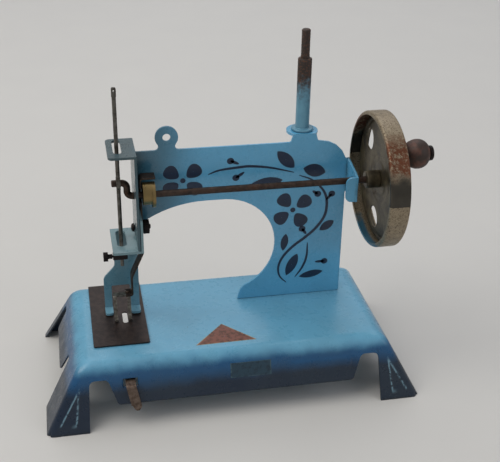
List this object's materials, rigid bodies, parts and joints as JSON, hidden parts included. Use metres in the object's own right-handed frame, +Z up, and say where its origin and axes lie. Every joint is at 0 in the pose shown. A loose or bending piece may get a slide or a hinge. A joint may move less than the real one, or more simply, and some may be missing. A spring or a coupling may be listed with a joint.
{
  "type": "toy hand-crank sewing machine",
  "caption": "Toy sewing machine of pressed sheet steel on four flared feet, with a hand wheel and wooden knob, cranked needle bar, two-legged presser and reel pin.",
  "frame": {"origin": "middle of the overall box, at the height of the floor that the feet stand on", "axes": "+X to the right along the arm towards the hand wheel, +Y to the back, +Z up"},
  "size_m": [0.2082, 0.1, 0.1898],
  "materials": {
    "blue_enamel": "gloss",
    "bronzed_plate": "satin",
    "rusty_rod": "matt",
    "dark_bar_steel": "satin",
    "tarnished_brass": "satin",
    "worn_nickel": "gloss",
    "dull_nickel": "satin",
    "stained_wood": "satin",
    "blackened_steel": "satin",
    "spring_steel": "satin",
    "painted_pin": "satin",
    "rusty_strip": "matt"
  },
  "bodies": {
    "machine": {"base_pan": "blue_enamel", "needle_plate": "bronzed_plate", "arm_plate": "blue_enamel", "arm_rivet_left": "blue_enamel", "arm_rivet_right": "blue_enamel", "presser_bracket": "blue_enamel", "spool_pin": "painted_pin", "pivot_screw": "blackened_steel", "looper_stud": "rusty_strip"},
    "drive": {"main_shaft": "rusty_rod", "feed_cam": "tarnished_brass", "wheel_rim": "worn_nickel", "wheel_web": "dull_nickel", "wheel_hub": "dull_nickel", "knob_stem": "blackened_steel"},
    "knob": {"knob": "stained_wood"},
    "needle_bar": {"needle_bar": "dark_bar_steel", "needle_clamp": "blackened_steel", "needle_shank": "spring_steel"},
    "clamp_screw": {"clamp_screw": "blackened_steel"},
    "feed_lever": {"feed_lever": "spring_steel", "feed_foot": "dark_bar_steel", "foot_rivet": "spring_steel"},
    "pivot_nut": {"pivot_nut": "blackened_steel"},
    "looper": {"looper_lever": "rusty_strip", "looper_hook": "dark_bar_steel"}
  },
  "joints": [
    {"name": "handwheel_turn", "type": "hinge", "parent": "machine", "child": "drive", "pos_m": [-0.0031, 0, 0.1108], "axis": [1, 0, 0], "continuous": true},
    {"name": "needle_bar_follow", "type": "hinge", "parent": "drive", "child": "needle_bar", "pos_m": [-0.0583, 0, 0.1183], "axis": [1, 0, 0], "continuous": true},
    {"name": "knob_spin", "type": "hinge", "parent": "drive", "child": "knob", "pos_m": [0.0881, -0.01504, 0.13077], "axis": [1, 0, 0], "continuous": true},
    {"name": "clamp_screw_turn", "type": "hinge", "parent": "needle_bar", "child": "clamp_screw", "pos_m": [-0.0583, 0, 0.076], "axis": [1, 0, 0], "continuous": true},
    {"name": "feed_lever_swing", "type": "hinge", "parent": "machine", "child": "feed_lever", "pos_m": [-0.04705, 0.003, 0.0908], "axis": [1, 0, 0], "range_deg": [-3, 3]},
    {"name": "pivot_nut_turn", "type": "hinge", "parent": "machine", "child": "pivot_nut", "pos_m": [-0.04705, 0.003, 0.0908], "axis": [1, 0, 0], "continuous": true},
    {"name": "looper_lever_swing", "type": "hinge", "parent": "machine", "child": "looper", "pos_m": [-0.0595, -0.014, 0.0248], "axis": [0, 0, 1], "range_deg": [-2, 2]}
  ],
  "couplings": [
    {"joint": "needle_bar_follow", "follows": "handwheel_turn", "ratio": -1}
  ]
}
